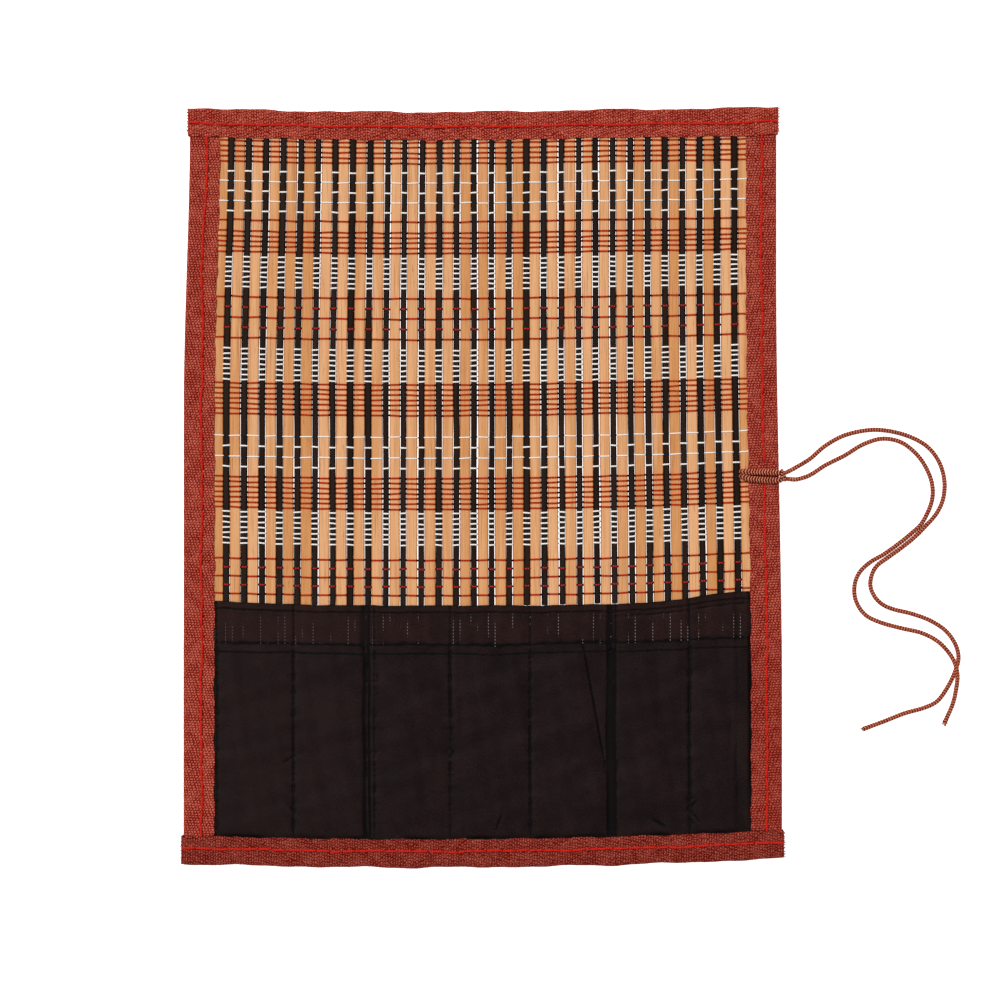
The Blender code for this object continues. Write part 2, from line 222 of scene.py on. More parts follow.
class Pile:
    """Grids of quads gathered into one mesh. Each point keeps two pattern coordinates and its place at rest."""

    def __init__(self):
        self.points, self.pattern, self.quads, self.slots, self.count = [], [], [], [], 0

    def grid(self, points, pattern, slot=0, close=False, flip=False):
        """points is rows x columns x 3. close joins each row's last point to its first."""
        rows, columns = points.shape[:2]
        index = np.arange(rows * columns).reshape(rows, columns) + self.count
        if close:
            index = np.concatenate([index, index[:, :1]], axis=1)
        quads = np.stack([index[:-1, :-1], index[:-1, 1:], index[1:, 1:], index[1:, :-1]], axis=-1).reshape(-1, 4)
        self.quads.append(quads[:, ::-1] if flip else quads)
        self.slots.append(np.full(len(quads), slot))
        self.points.append(points.reshape(-1, 3))
        self.pattern.append(np.broadcast_to(pattern, (rows, columns, 2)).reshape(-1, 2))
        self.count += rows * columns

    def tube(self, path, half_width, half_height, slot=0, sides=6, phase=0.0, taper=True, from_ends=False):
        """A flattened tube along path. Its half sizes may be one number or one for each point. Its pattern runs along
        it, or is the distance from its nearer end."""
        path = np.asarray(path, float)
        ahead = np.gradient(path, axis=0)
        ahead /= np.linalg.norm(ahead, axis=1, keepdims=True) + 1e-9
        side = np.cross(ahead, (0.0, 0.02, 1.0))
        side /= np.linalg.norm(side, axis=1, keepdims=True) + 1e-9
        over = np.cross(side, ahead)
        scale = np.ones(len(path))
        if taper:
            scale[[0, -1]] = 0.4
        turn = np.arange(sides) / sides * TURN
        wide = (np.broadcast_to(half_width, len(path)) * scale)[:, None, None]
        high = (np.broadcast_to(half_height, len(path)) * scale)[:, None, None]
        ring = path[:, None] + wide * side[:, None] * np.cos(turn)[None, :, None]
        ring = ring + high * over[:, None] * np.sin(turn)[None, :, None]
        along = np.concatenate([[0], np.cumsum(np.linalg.norm(np.diff(path, axis=0), axis=1))])
        if from_ends:
            along = np.minimum(along, along[-1] - along)
        pattern = np.stack(np.meshgrid(turn / TURN, along + phase), axis=-1)
        self.grid(ring, pattern, slot, close=True)

    def object(self, name, materials, tone=0.5):
        points = np.concatenate(self.points)
        quads = np.concatenate(self.quads).astype(np.int32)
        mesh = bpy.data.meshes.new(name)
        mesh.vertices.add(len(points))
        mesh.vertices.foreach_set("co", (points * MM).astype(np.float32).ravel())
        mesh.loops.add(quads.size)
        mesh.loops.foreach_set("vertex_index", quads.ravel())
        mesh.polygons.add(len(quads))
        mesh.polygons.foreach_set("loop_start", np.arange(0, quads.size, 4, dtype=np.int32))
        mesh.polygons.foreach_set("material_index", np.concatenate(self.slots).astype(np.int32))
        for each in materials:
            mesh.materials.append(each)
        mesh.update(calc_edges=True)
        mesh.shade_smooth()
        pattern = np.concatenate(self.pattern)
        pattern = np.concatenate([pattern, np.full((len(pattern), 1), tone)], axis=1)
        for title, values in (("pattern", pattern), ("rest", points)):
            layer = mesh.attributes.new(title, "FLOAT_VECTOR", "POINT")
            layer.data.foreach_set("vector", values.astype(np.float32).ravel())
        obj = bpy.data.objects.new(name, mesh)
        bpy.context.scene.collection.objects.link(obj)
        return obj


def stitch_run(pile, place, start, end, slot, length=8.0, gap=0.3, seed=0, cut=None, half=0.7, lift=0.8):
    """Stitches along a line. place(t) gives the points at distances t, and cut keeps those between two."""
    draw = np.random.default_rng(seed)
    at = start
    low, high = cut or (start, end)
    while at < end - 1.0:
        size = length * draw.uniform(0.85, 1.15)
        slant = draw.uniform(-0.22, 0.22)
        first, last = max(at, low), min(at + size, end, high)
        if last - first > 0.4:
            t = np.linspace(first, last, max(4, int((last - first) / 1.2) + 2))
            share = np.clip((t - at) / size, 0, 1)
            path = place(t, slant * (2 * share - 1))
            path[:, 2] += lift * np.minimum(1, 5 * np.minimum(share, 1 - share) + 0.05) - 0.16
            pile.tube(path, half, half * 0.72, slot, sides=8, phase=at)
        at += size + gap * draw.uniform(0.7, 1.4)


# ---------------------------------------------------------------- materials


class Paint:
    """A short way to write a material's nodes."""

    def __init__(self, name):
        self.material = bpy.data.materials.new(name)
        self.material.use_nodes = True
        self.tree = self.material.node_tree
        self.shader = self.tree.nodes["Principled BSDF"]

    def node(self, kind, inputs=(), **settings):
        made = self.tree.nodes.new(kind)
        for key, value in settings.items():
            setattr(made, key, value)
        for key, value in dict(inputs).items():
            self.put(made.inputs[key], value)
        return made

    def put(self, socket, value):
        if isinstance(value, bpy.types.NodeSocket):
            self.tree.links.new(value, socket)
        else:
            socket.default_value = value

    def math(self, operation, a, b=0.0, c=0.0):
        return self.node("ShaderNodeMath", {0: a, 1: b, 2: c}, operation=operation).outputs[0]

    def split(self, attribute):
        found = self.node("ShaderNodeAttribute", attribute_name=attribute).outputs["Vector"]
        return self.node("ShaderNodeSeparateXYZ", {0: found}).outputs

    def vector(self, x, y, z=0.0):
        return self.node("ShaderNodeCombineXYZ", {0: x, 1: y, 2: z}).outputs[0]

    def scaled(self, attribute, scale):
        found = self.node("ShaderNodeAttribute", attribute_name=attribute).outputs["Vector"]
        return self.node("ShaderNodeVectorMath", {0: found, 1: scale}, operation="MULTIPLY").outputs[0]

    def noise(self, vector, scale=1.0, detail=3.0, roughness=0.5):
        inputs = {"Vector": vector, "Scale": scale, "Detail": detail, "Roughness": roughness}
        return self.node("ShaderNodeTexNoise", inputs).outputs["Fac"]

    def between(self, value, low, high, to_low=0.0, to_high=1.0):
        inputs = {"Value": value, "From Min": low, "From Max": high, "To Min": to_low, "To Max": to_high}
        return self.node("ShaderNodeMapRange", inputs, interpolation_type="SMOOTHSTEP").outputs[0]

    def mix(self, share, a, b):
        made = self.node("ShaderNodeMix", data_type="RGBA")
        for socket, value in ((0, share), (6, a), (7, b)):
            self.put(made.inputs[socket], (*value, 1.0) if isinstance(value, tuple) else value)
        return made.outputs[2]

    def finish(self, colour, roughness, height=None, bump=0.3, distance=0.0003, **fixed):
        self.put(self.shader.inputs["Base Color"], colour)
        self.put(self.shader.inputs["Roughness"], roughness)
        for key, value in fixed.items():
            self.shader.inputs[key.replace("_", " ")].default_value = value
        if height is not None:
            made = self.node("ShaderNodeBump", {"Height": height, "Strength": bump, "Distance": distance})
            self.tree.links.new(made.outputs[0], self.shader.inputs["Normal"])
        return self.material


def bamboo(name, pale, deep, streak, rim, grain, gloss):
    """Split bamboo: long fibres, each slat's own tone, and painted shade on its edges from rim of its half width out.
    """
    p = Paint(name)
    across, _, tone = p.split("pattern")
    fibres = p.noise(p.scaled("rest", (1.9, 0.03, 1.0)), detail=4.0, roughness=0.7)
    patches = p.noise(p.scaled("rest", (0.35, 0.012, 0.3)), detail=2.0)
    fine = p.noise(p.scaled("rest", (9.0, 0.09, 4.0)), detail=2.0)
    share = p.math("ADD", tone, p.between(patches, 0.3, 0.7, -0.3, 0.3))
    base = p.mix(p.between(share, 0.0, 1.0), pale, deep)
    base = p.mix(p.between(fibres, 0.50, 0.72, 0.0, grain), base, streak)
    base = p.mix(p.between(fine, 0.35, 0.6, 0.0, grain * 0.45), base, pale)
    blotch = p.noise(p.scaled("rest", (0.55, 0.06, 0.5)), detail=5.0, roughness=0.75)
    base = p.mix(p.between(blotch, 0.60, 0.72, 0.0, grain * 0.7), base, streak)
    # Painted shade: towards both edges each slat darkens to the streak colour, where its rounded sides turn from the
    # light.
    edge = p.between(p.math("ABSOLUTE", across), rim, 0.97, 0.0, grain)
    base = p.mix(edge, base, streak)
    rough = p.between(fibres, 0.3, 0.7, 0.42, 0.6)
    return p.finish(base, rough, fine, bump=0.3, Specular_IOR_Level=gloss)


def tape_material(name, dark, light, weave, low_shade=0.0):
    """Coarse ribbed tape: staggered nubs on rows, with painted highlight on the nubs' crowns and painted shade in the
    hollows between them. The mesh has the same relief.
    """
    p = Paint(name)
    nub_pitch, slant, nub_share, rib_share, loose = weave
    across, along, _ = p.split("pattern")
    jitter = p.noise(p.scaled("pattern", (0.33, 0.33, 0.0)), detail=3.0)
    across = p.math("ADD", across, p.between(jitter, 0.2, 0.8, -0.9 * loose, 0.9 * loose))
    sway = p.noise(p.scaled("pattern", (0.45, 0.6, 0.0)), detail=2.0)
    along = p.math("ADD", along, p.between(sway, 0.2, 0.8, -0.3 * loose, 0.3 * loose))
    across = p.math("MULTIPLY_ADD", along, slant, across)
    u = p.math("COSINE", p.math("MULTIPLY", across, TURN / nub_pitch))
    v = p.math("COSINE", p.math("MULTIPLY", along, pi / ROW_PITCH))
    nub = p.math("MULTIPLY", u, v)
    rib = p.math("COSINE", p.math("MULTIPLY", along, TURN / ROW_PITCH))
    height = p.math("MULTIPLY_ADD", rib, rib_share, p.math("MULTIPLY", nub, nub_share))
    fibres = p.noise(p.scaled("pattern", (1.7, 2.0, 0.0)), detail=4.0, roughness=0.65)
    wear = p.noise(p.scaled("pattern", (0.12, 0.12, 0.0)), detail=3.0)
    # Painted light: the colour follows the weave's height, light on the nubs' crowns and dark in the hollows between;
    # fibres and wear add the yarn's own tones.
    share = p.math("ADD", p.between(height, -1.0, 1.25, 0.05, 0.95), p.between(fibres, 0.3, 0.7, -0.45, 0.45))
    share = p.math("ADD", share, p.between(wear, 0.3, 0.7, -0.12, 0.12))
    base = p.mix(p.math("POWER", p.between(share, 0.0, 1.0), 1.5), dark, light)
    base = p.mix(p.between(p.split("rest")[1], -70.0, -120.0, 0.0, low_shade), base, dark)
    relief = p.math("MULTIPLY_ADD", fibres, 0.5, height)
    return p.finish(base, 0.95, relief, bump=0.5, Specular_IOR_Level=0.04)


def cloth_material(name, colour, sheer):
    """Thin dark taffeta: a fine weave with a faint sheen, painted shade in its hollows and painted highlight on its
    ridges, and painted pin-holes of light over the slats' gaps.
    """
    p = Paint(name)
    x, y, _ = p.split("rest")
    painted_shade = p.split("pattern")[0]
    weave_x = p.math("SINE", p.math("MULTIPLY", x, TURN / 0.5))
    weave_y = p.math("SINE", p.math("MULTIPLY", y, TURN / 0.5))
    weave = p.math("MULTIPLY", weave_x, weave_y)
    cloudy = p.noise(p.scaled("rest", (0.05, 0.05, 0.0)), detail=5.0, roughness=0.7)
    slub = p.noise(p.scaled("rest", (1.8, 0.25, 0.0)), detail=3.0)
    lint = p.noise(p.scaled("rest", (1.3, 1.3, 0.0)), detail=2.0)
    dim, bright = tuple(0.72 * c for c in colour), tuple(1.3 * c for c in colour)
    base = p.mix(p.between(cloudy, 0.35, 0.65), dim, bright)
    grain = p.noise(p.scaled("rest", (1.2, 0.9, 0.0)), detail=3.0, roughness=0.75)
    base = p.mix(p.between(grain, 0.50, 0.66, 0.0, 0.6), base, tuple(2.1 * c for c in colour))
    base = p.mix(p.between(grain, 0.48, 0.34, 0.0, 0.7), base, tuple(0.2 * c for c in colour))
    base = p.mix(p.between(x, -40.0, -110.0, 0.0, 0.3), base, tuple(1.7 * c for c in colour))
    # Painted shade where the first pattern value is positive: creases, flat folds, hem lines, the upper edge and
    # under the pocket mouths. Painted highlight on ridges where it is negative.
    base = p.mix(p.between(painted_shade, 0.008, 0.13, 0.0, 0.9), base, tuple(0.1 * c for c in colour))
    base = p.mix(p.between(painted_shade, -0.02, -0.2, 0.0, 0.35), base, tuple(2.0 * c for c in colour))
    base = p.mix(p.between(lint, 0.76, 0.82, 0.0, 0.3), base, (0.05, 0.04, 0.04))
    if sheer:
        step = p.math("PINGPONG", p.math("SUBTRACT", x, HINGE_X[0]), PITCH / 2)
        line = p.math("ABSOLUTE", p.math("SUBTRACT", step, BLACK_WIDTH / 2 + 0.3))
        line = p.between(line, 0.05, 0.22, 1.0, 0.0)
        dashes = p.between(p.math("SINE", p.math("MULTIPLY", y, TURN / 1.9)), -0.2, 0.6)
        luck = p.noise(p.scaled("rest", (0.13, 0.05, 0.0)), detail=1.0)
        luck = p.math("MULTIPLY", p.between(luck, 0.50, 0.58), p.between(x, -160.0, 60.0, 0.35, 1.0))
        luck = p.math("MULTIPLY", luck, p.between(y, -74.0, -78.0))
        base = p.mix(p.math("MULTIPLY", p.math("MULTIPLY", line, dashes), luck), base, (0.30, 0.28, 0.28))
    height = p.math("MULTIPLY_ADD", weave, 0.35, slub)
    return p.finish(base, 0.5, height, bump=0.2, Specular_IOR_Level=0.06)


def thread_material(name, colour, shade, twist=1.1, deep=None, flank=None):
    """Twisted thread. deep is a painted shade where it dips between the slats, and flank its colour along its two
    sides.
    """
    p = Paint(name)
    turn, along, _ = p.split("pattern")
    ply = p.math("SINE", p.math("MULTIPLY", p.math("MULTIPLY_ADD", along, 1 / twist, turn), TURN))
    fuzz = p.noise(p.scaled("rest", (3.0, 3.0, 3.0)), detail=3.0)
    share = p.math("ADD", p.between(ply, -0.9, 0.6, 0.0, 0.75), p.between(fuzz, 0.3, 0.7, -0.2, 0.25))
    base = p.mix(share, shade, colour)
    if flank:
        sideways = p.math("ABSOLUTE", p.math("COSINE", p.math("MULTIPLY", turn, TURN)))
        base = p.mix(p.between(sideways, 0.3, 0.9), base, flank)
    # Painted shade: near the tie's ends, where it dips into the gap between the slats, the thread turns to deep.
    if deep:
        base = p.mix(p.between(along, 1.2, 1.75), deep, base)
    return p.finish(base, 0.8, ply, bump=0.3, Specular_IOR_Level=0.08)


BRAID_PITCH, BRAID_COLUMNS, BRAID_SLANT = 1.6, 4.0, 0.66


def cord_material(name, dark, mid, light, thin=0.0):
    """Round braid: two families of strands that cross, with painted highlight on the crowns and painted shade in the
    hollows between them. thin narrows the highlighted strokes.
    """
    p = Paint(name)
    turn, along, _ = p.split("pattern")
    column = p.math("PINGPONG", p.math("MULTIPLY", turn, BRAID_COLUMNS), 1.0)
    stroke = p.math("MULTIPLY_ADD", along, 1 / BRAID_PITCH, p.math("MULTIPLY", column, BRAID_SLANT))
    height = p.math("COSINE", p.math("MULTIPLY", stroke, TURN))
    fuzz = p.noise(p.scaled("rest", (1.6, 1.6, 1.6)), detail=4.0, roughness=0.6)
    # Painted light: the colour follows the braid's relief, light on the crowns and dark in the hollows; fuzz adds the
    # yarn's own tones.
    crown = p.between(height, -0.8 + thin, 1.1, 0.1, 0.85 + 0.3 * thin)
    share = p.math("ADD", crown, p.between(fuzz, 0.3, 0.7, -0.35, 0.35))
    base = p.mix(p.between(share, 0.0, 0.5), dark, mid)
    base = p.mix(p.between(share, 0.45, 1.0), base, light)
    return p.finish(base, 0.95, height, bump=0.4, Specular_IOR_Level=0.04)


# How a tape is woven: the nubs' pitch across, their slant, how much the nubs and the ribs stand out, and how
# loosely they lie.
CANVAS = (1.7, 0.28, 0.85, 0.35, 1.0)
RIBBED = (1.8, 0.30, 0.72, 0.45, 0.7)
BRICK = (1.8, 0.30, 0.75, 0.40, 0.5)
ROW_PITCH = PITCH / 7
TAN = bamboo("bamboo_tan", (0.80, 0.42, 0.200), (0.61, 0.245, 0.066), (0.30, 0.085, 0.018), 0.76, 0.9, 0.15)
BLACK = bamboo(
    "bamboo_dyed", (0.025, 0.0138, 0.0096), (0.014, 0.0077, 0.0056), (0.001, 0.0004, 0.0002), 0.45, 1.0, 0.04)
TAPE = tape_material("tape_red", (0.165, 0.001, 0.0), (0.68, 0.150, 0.096), CANVAS)
TAPE_RIBBED = tape_material("tape_red_ribbed", (0.160, 0.001, 0.0), (0.64, 0.150, 0.098), RIBBED, 0.25)
TAPE_BRICK = tape_material("tape_red_brick", (0.160, 0.001, 0.0), (0.66, 0.152, 0.098), BRICK)
TAPE_DARK = tape_material("tape_red_deep", (0.110, 0.001, 0.0), (0.44, 0.094, 0.062), CANVAS)
LINING = cloth_material("taffeta_lining", (0.0150, 0.0058, 0.0052), True)
PANEL = cloth_material("taffeta_pocket", (0.0105, 0.0052, 0.0050), False)
RED_THREAD = thread_material("thread_red", (0.76, 0.024, 0.012), (0.46, 0.009, 0.005))
# Each deep colour below is painted shade where the ties dip between the slats.
WEAVE_RED = thread_material(
    "weaving_red", (0.46, 0.014, 0.002), (0.20, 0.003, 0.001),
    deep=(0.030, 0.003, 0.002), flank=(0.80, 0.20, 0.065))
WEAVE_RED_DARK = thread_material(
    "weaving_red_on_black", (0.66, 0.038, 0.026), (0.26, 0.008, 0.004), deep=(0.030, 0.003, 0.002))
WEAVE_WHITE = thread_material("weaving_white", (1.0, 1.0, 0.98), (0.95, 0.90, 0.85))
DARK_THREAD = thread_material("thread_dark", (0.012, 0.009, 0.009), (0.004, 0.003, 0.003))
CORD = cord_material("cord_braided", (0.075, 0.006, 0.002), (0.31, 0.050, 0.022), (0.70, 0.25, 0.15))
CORD_TIGHT = cord_material(
    "cord_braided_tight", (0.065, 0.004, 0.001), (0.28, 0.040, 0.016), (0.74, 0.28, 0.17), 0.6)

# ---------------------------------------------------------------- camera, light and floor

FRAME_WIDTH = 0.596
CAMERA_AT = (0.0107, -0.0083)
LENS, SENSOR = 100.0, 36.0


def add_camera():
    data = bpy.data.cameras.new("camera")
    data.lens = LENS
    data.sensor_width = SENSOR
    obj = bpy.data.objects.new("camera", data)
    obj.location = (*CAMERA_AT, FRAME_WIDTH * LENS / SENSOR)
    bpy.context.scene.collection.objects.link(obj)
    bpy.context.scene.camera = obj


def add_light():
    world = bpy.data.worlds.new("studio")
    world.use_nodes = True
    world.node_tree.nodes["Background"].inputs["Color"].default_value = (1.0, 1.0, 1.0, 1.0)
    world.node_tree.nodes["Background"].inputs["Strength"].default_value = 0.42
    bpy.context.scene.world = world
    sun = bpy.data.lights.new("softbox", "SUN")
    sun.energy = 2.15
    sun.angle = radians(16)
    obj = bpy.data.objects.new("softbox", sun)
    obj.rotation_euler = Vector((0.55, -0.75, -1.5)).to_track_quat("-Z", "Y").to_euler()
    bpy.context.scene.collection.objects.link(obj)
    bpy.context.scene.view_settings.view_transform = "Standard"


def add_floor():
    """A white table lit from inside, so that it stays white under the mat's gaps."""
    p = Paint("white_table")
    p.shader.inputs["Base Color"].default_value = (0.9, 0.9, 0.9, 1.0)
    p.shader.inputs["Roughness"].default_value = 1.0
    p.shader.inputs["Specular IOR Level"].default_value = 0.0
    p.shader.inputs["Emission Color"].default_value = (1.0, 1.0, 1.0, 1.0)
    p.shader.inputs["Emission Strength"].default_value = 0.97
    pile = Pile()
    edge = np.linspace(-6000, 6000, 9)
    x, y = np.meshgrid(edge, edge)
    pile.grid(np.stack([x, y, np.full_like(x, -0.05)], axis=-1), np.zeros(2), flip=True)
    pile.object("table", [p.material])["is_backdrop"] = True


# ---------------------------------------------------------------- the tie cord


def braid_tube(pile, path, half_width, half_height, relief=0.11, sides=20):
    """A round braid with its strands in relief."""
    ahead = np.gradient(path, axis=0)
    ahead /= np.linalg.norm(ahead, axis=1, keepdims=True)
    side = np.cross(ahead, (0.0, 0.0, 1.0))
    lengths = np.linalg.norm(side, axis=1, keepdims=True)
    side = np.where(lengths > 1e-3, side / np.maximum(lengths, 1e-3), (0.0, -1.0, 0.0))
    over = np.cross(side, ahead)
    along = np.concatenate([[0], np.cumsum(np.linalg.norm(np.diff(path, axis=0), axis=1))])
    turn = np.arange(sides) / sides
    t, s = np.meshgrid(turn, along)
    column = 1 - np.abs(BRAID_COLUMNS * t % 2 - 1)
    height = relief * np.cos(TURN * (s / BRAID_PITCH + BRAID_SLANT * column))
    wide = (np.broadcast_to(half_width, len(path))[:, None] + height)[..., None]
    high = (np.broadcast_to(half_height, len(path))[:, None] + height)[..., None]
    ring = path[:, None] + wide * side[:, None] * np.cos(TURN * t)[..., None]
    ring = ring + high * over[:, None] * np.sin(TURN * t)[..., None]
    pile.grid(ring, np.stack([t, s], axis=-1), close=True)


def fray(pile, end, ahead, count, length, spread, slot=0, seed=0, half=0.14):
    """Loose yarns at a cut end."""
    draw = np.random.default_rng(seed)
    for _ in range(count):
        start = end + draw.uniform(-1, 1, 3) * spread
        way = ahead + draw.normal(0, 0.38, 3)
        bend = draw.normal(0, 0.35, 3)
        t = np.linspace(0, 1, 5)[:, None] * length * draw.uniform(0.5, 1.0)
        path = start + way * t + bend * t * t / length
        path[:, 2] = np.maximum(path[:, 2], 0.2)
        pile.tube(path, half, half, slot, sides=5)


def add_strand(node, route, seed):
    """A free strand with a square, slightly opened end."""
    path = smooth_route(route, 1150)
    half = np.full(len(path), CORD_DIAMETER / 2 + 0.08)
    half[-20:] *= np.linspace(1.0, 1.12, 20)
    pile = Pile()
    braid_tube(pile, path, half, CORD_DIAMETER / 2)
    ahead = path[-1] - path[-9]
    ahead /= np.linalg.norm(ahead)
    close_end(pile, path[-1], ahead, half[-1])
    fray(pile, path[-1] - 0.4 * ahead, ahead, 26, 2.0, 0.85, seed=seed)
    strand = pile.object(node + "_braid", [CORD])
    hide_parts(node)
    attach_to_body(strand, BODIES[0])


def close_end(pile, end, ahead, half):
    """Fills a cut end with a shallow dome."""
    side = np.cross(ahead, (0.0, 0.0, 1.0))
    side /= np.linalg.norm(side)
    over = np.cross(side, ahead)
    turn = np.linspace(0, TURN, 12, endpoint=False)
    ring = side * np.cos(turn)[:, None] + over * np.sin(turn)[:, None]
    rows = [end + ahead * 0.3 * (1 - share**2) + ring * half * 0.9 * share for share in (1.0, 0.7, 0.4, 0.05)]
    pile.grid(np.array(rows), np.zeros(2), close=True)


# The hitch's two legs over the side tape, X and height of both and then each one's Y. Then the turns that pinch
# them: X, lowest and highest Y, height and lean.
HITCH_PLACES = ((152.9, 1.0), (153.2, 3.0), (154.6, 4.5), (158.5, 5.2), (166.0, 5.25), (172.5, 5.2), (176.0, 4.8))
HITCH_LEGS = (
    (UPPER_STRAND, (9.1, 9.2, 9.0, 8.75, 8.6, 8.3, 8.2)),
    (LOWER_STRAND, (6.4, 6.1, 4.9, 4.2, 3.9, 4.1, 4.7)),
)
HITCH_TURNS = ((177.0, 3.2, 9.9, 5.7, 0.5), (178.9, 4.0, 9.0, 4.9, -0.5), (176.8, 3.6, 9.4, 4.1, 0.0))


def add_hitch():
    """The doubled cord: from the gap beside the slats, over the side tape, through the pinch at its edge, and down
    to where the free strands start."""
    pile = Pile()
    for strand, ys in HITCH_LEGS:
        route = [(x, ys[0], z) for x, z in HITCH_PLACES[:2]]
        route += [(x, y, z) for (x, z), y in zip(HITCH_PLACES[2:], ys[1:])]
        route += [(178.6, ys[-1], 3.5), *strand[:2]]
        path = smooth_route(route, 170)
        x = path[:, 0]
        wide = 1.25 + 0.5 * rise((x - 153.0) / 2.5) * rise((177.0 - x) / 3.5)
        braid_tube(pile, path, wide, 1.25)
    for x, low, high, top, lean in HITCH_TURNS:
        turn = np.linspace(-0.36, 0.36, 24) * TURN
        middle, half = (low + high) / 2, (high - low) / 2
        sine, cosine = np.sin(turn), np.cos(turn)
        loop = np.stack([x + lean * sine, middle + half * sine, top + 2.2 * (cosine - 1)], axis=1)
        braid_tube(pile, smooth_route(loop, 50), 0.85, 0.8)
    hitch = pile.object("cord_hitch_braid", [CORD_TIGHT])
    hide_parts("cord_hitch")
    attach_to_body(hitch, BODIES[0])


def add_cords():
    add_hitch()
    add_strand("cord_strand_upper", UPPER_STRAND, 3)
    add_strand("cord_strand_lower", LOWER_STRAND, 4)


# ---------------------------------------------------------------- slats and weaving threads


def thread_rows():
    """Each row as (colour, "T" or "B", Y)."""
    rows = []
    for colour, pattern, first, last, count in THREAD_BANDS:
        for i, y in enumerate(np.linspace(first, last, count)):
            rows.append((colour, pattern[i % len(pattern)], y))
    return rows


ROWS = thread_rows()


def row_height(row, x):
    """A row's Y where it passes x: it wanders a little from slat to slat."""
    return ROWS[row][2] + 0.35 * wave(x, 23.0, 900 + row) + 0.2 * wave(x, 7.0, 1900 + row)


# How far a slat spreads past its CAD width on each side: as a rule, and at most.
TAN_SPREAD, BLACK_SPREAD = (0.34, 0.52), (0.17, 0.26)
# Half a tie's width, by its colour and whether the slat is tan.
TIE_HALF = {("red", True): 0.64, ("red", False): 0.5, ("white", True): 0.38, ("white", False): 0.48}


def slat_shape(x, width, seed):
    """A slat's left and right edges down its length: uneven, each kept to its own side of the gap."""
    y = np.linspace(-SLAT_END, SLAT_END, 75)
    draw = np.random.default_rng(seed)
    spread, limit = TAN_SPREAD if width > BLACK_WIDTH + 1 else BLACK_SPREAD
    shift = draw.uniform(-0.22, 0.22) + 0.2 * wave(y, 190, seed + 1)
    half = width / 2 + spread + draw.uniform(-0.24, 0.2) + 0.08 * wave(y, 60, seed + 2)
    furthest = width / 2 + limit
    return y, x + np.maximum(shift - half, -furthest), x + np.minimum(shift + half, furthest)


def add_slat_body(pile, x, width, seed):
    y, left, right = slat_shape(x, width, seed)
    low, high = SLAT_FLOOR, SLAT_TOP
    middle = (low + high) / 2
    crown = 0.12
    profile = [
        (-1, middle), (-0.99, high - 0.35), (-0.93, high - 0.12), (-0.8, high), (-0.4, high + crown * 0.8),
        (0, high + crown), (0.4, high + crown * 0.8), (0.8, high), (0.93, high - 0.12), (0.99, high - 0.35),
        (1, middle), (0.99, low + 0.3), (0.9, low + 0.05), (0, low), (-0.9, low + 0.05), (-0.99, low + 0.3),
    ]
    across = np.array([p[0] for p in profile])
    height = np.array([p[1] for p in profile])
    centre, half = (left + right)[:, None] / 2, (right - left)[:, None] / 2
    points = np.stack(
        [centre + half * across, np.broadcast_to(y[:, None], (len(y), len(across))),
         np.broadcast_to(height, (len(y), len(across)))], axis=-1)
    pattern = np.stack([np.broadcast_to(across, points.shape[:2]), points[..., 1]], axis=-1)
    pile.grid(settle(points), pattern, close=True)
    for end, flip in ((0, True), (-1, False)):
        ring = points[end]
        cap = np.stack([ring, np.broadcast_to(ring.mean(0), ring.shape)])
        pile.grid(settle(cap), pattern[:2], close=True, flip=flip)


def add_ties(pile, x, width, tan, seed):
    """The weaving threads where they pass this slat, over it or under it, wrapped round both its edges."""
    y, left, right = slat_shape(x, width, seed)
    for row, (colour, side, _) in enumerate(ROWS):
        over = (side == "T") == tan
        slot = 1 if colour == "red" else 2
        here = row_height(row, x)
        a, b = np.interp(here, y, left), np.interp(here, y, right)
        ya, yb = row_height(row, x - width / 2 - 0.4), row_height(row, x + width / 2 + 0.4)
        covered = here < lining_edge(x) + 1.5
        face = SLAT_TOP + (0.0 if covered else 0.24) if over else SLAT_FLOOR - 0.2
        near = SLAT_TOP - 0.2 if over else SLAT_FLOOR + 0.2
        middle = (SLAT_TOP + SLAT_FLOOR) / 2
        path = [
            (a - 0.24, ya, middle), (a - 0.14, ya, near), (a + 0.35, 0.8 * ya + 0.2 * yb, face),
            ((a + b) / 2, (ya + yb) / 2, face + (0.1 if over and not covered else 0.0)),
            (b - 0.35, 0.2 * ya + 0.8 * yb, face),
            (b + 0.14, yb, near), (b + 0.24, yb, middle),
        ]
        high = 0.16 if covered else 0.32
        pile.tube(settle(np.array(path)), TIE_HALF[colour, tan], high, slot, taper=False, from_ends=True)


def add_slat(name, x, tan, node, seed, ties=True):
    width = TAN_WIDTH if tan else BLACK_WIDTH
    pile = Pile()
    add_slat_body(pile, x, width, seed)
    if ties:
        add_ties(pile, x, width, tan, seed)
    tone = float(np.random.default_rng(seed + 5).uniform(0.0, 1.0) ** 1.5)
    materials = [TAN, WEAVE_RED, WEAVE_WHITE] if tan else [BLACK, WEAVE_RED_DARK, WEAVE_WHITE]
    piece = pile.object(name, materials, tone)
    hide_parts(node)
    return piece


def half_way(piece, hinge):
    """Bakes the piece's place into its mesh; the piece does not turn with the hinge."""
    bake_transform(piece)


